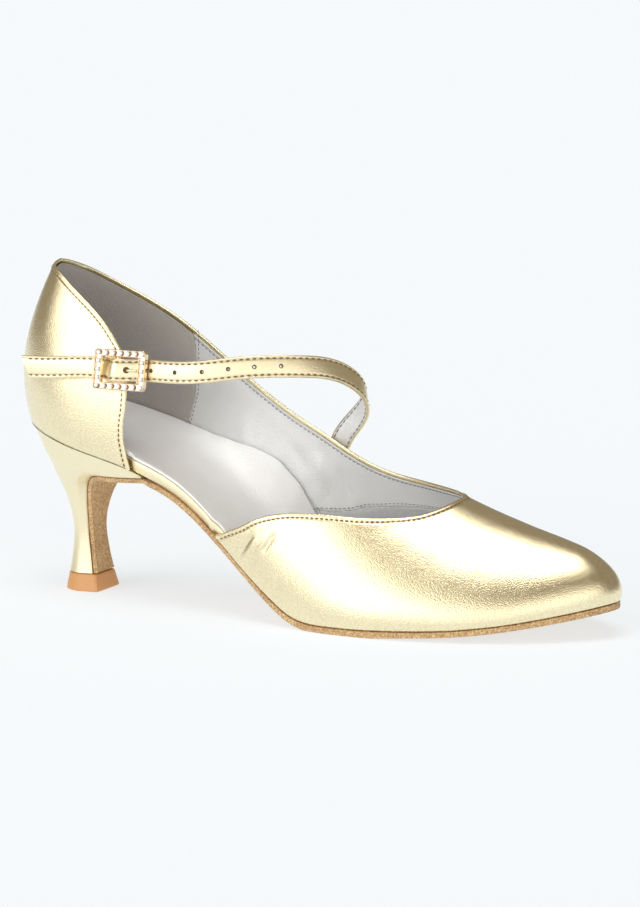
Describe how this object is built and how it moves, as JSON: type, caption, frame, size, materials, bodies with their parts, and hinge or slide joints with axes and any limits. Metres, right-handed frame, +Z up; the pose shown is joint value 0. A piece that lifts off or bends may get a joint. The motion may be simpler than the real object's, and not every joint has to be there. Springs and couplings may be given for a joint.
{
  "type": "ladies' ballroom dance shoe",
  "caption": "Closed-toe ballroom dance shoe with a flared heel, an open waist on the outer side and an asymmetric buckled strap",
  "frame": {"origin": "centre of the heel tip's ground face, on the floor", "axes": "+X towards the toe, +Y towards the inner side of the foot, +Z up from the floor"},
  "size_m": [0.2402, 0.0766, 0.1248],
  "materials": {
    "upper_leather": "metallic pale gold, fine grain",
    "heel_leather": "metallic pale gold cover, smooth",
    "board_leather": "metallic pale gold edge cover",
    "strap_leather": "metallic pale gold, silver lining",
    "tab_leather": "metallic gold",
    "sock_leather": "smooth silver grey",
    "sole_suede": "tan suede, napped",
    "tip_plastic": "tan, satin",
    "buckle_metal": "polished rose gold plating",
    "prong_metal": "polished rose gold plating",
    "crystal": "clear faceted, foil backed"
  },
  "bodies": {
    "root": {"upper": "upper_leather", "outsole": "sole_suede", "insole_board": "board_leather", "sock": "sock_leather", "heel": "heel_leather", "heel_tip": "tip_plastic", "strap": "strap_leather", "buckle_frame": "buckle_metal", "buckle_tab": "tab_leather", "buckle_prong": "prong_metal", "crystal_01": "crystal", "crystal_02": "crystal", "crystal_03": "crystal", "crystal_04": "crystal", "crystal_05": "crystal", "crystal_06": "crystal", "crystal_07": "crystal", "crystal_08": "crystal", "crystal_09": "crystal", "crystal_10": "crystal", "crystal_11": "crystal", "crystal_12": "crystal", "crystal_13": "crystal", "crystal_14": "crystal", "crystal_15": "crystal", "crystal_16": "crystal", "crystal_17": "crystal", "crystal_18": "crystal", "crystal_19": "crystal", "crystal_20": "crystal"}
  },
  "joints": []
}
